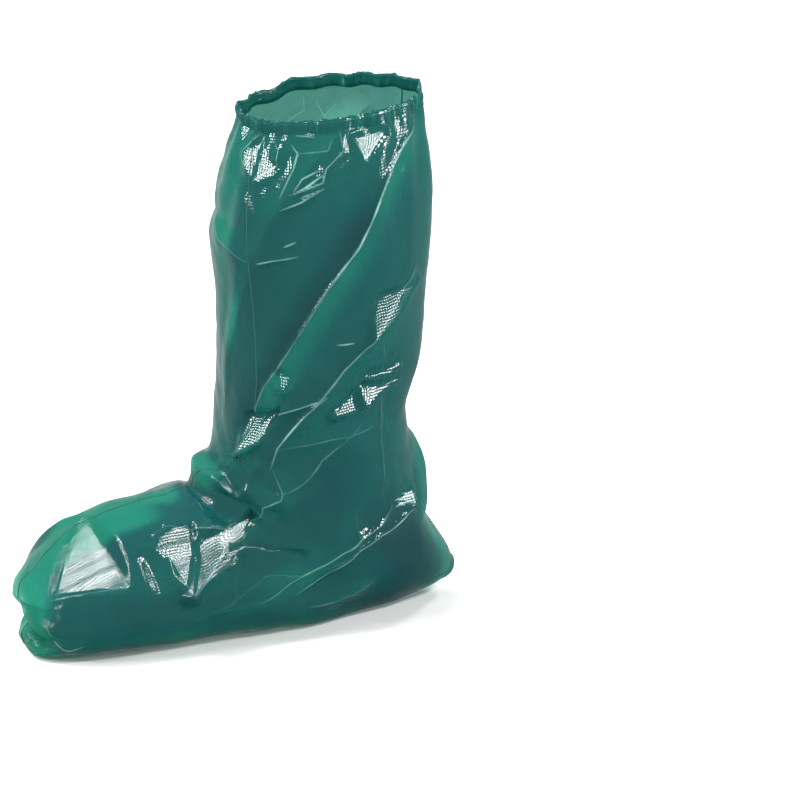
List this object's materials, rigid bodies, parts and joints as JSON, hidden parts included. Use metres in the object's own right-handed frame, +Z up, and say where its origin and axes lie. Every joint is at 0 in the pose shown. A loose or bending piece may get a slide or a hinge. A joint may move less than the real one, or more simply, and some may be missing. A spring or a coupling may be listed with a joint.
{
  "type": "disposable leg cover",
  "caption": "Tall disposable over-boot of thin translucent film in its worn form, welded along its outline, open at the top, with a gathered hem and elastic round the leg opening.",
  "frame": {"origin": "middle of the leg opening, at the top edge of the film panels under the hem", "axes": "+Z up out of the leg opening, -Y towards the toe, +X the side that the picture shows"},
  "size_m": [0.1565, 0.3508, 0.4159],
  "materials": {
    "film": "glossy translucent green film with a fine embossed pattern",
    "weld_film": "glossy fused film",
    "hem_film": "glossy gathered film",
    "elastic": "matt pale elastic"
  },
  "bodies": {
    "root": {"left_panel": "film", "right_panel": "film", "front_weld": "weld_film", "back_weld": "weld_film", "sole_weld": "weld_film", "top_hem": "hem_film", "elastic_cord": "elastic"}
  },
  "joints": []
}
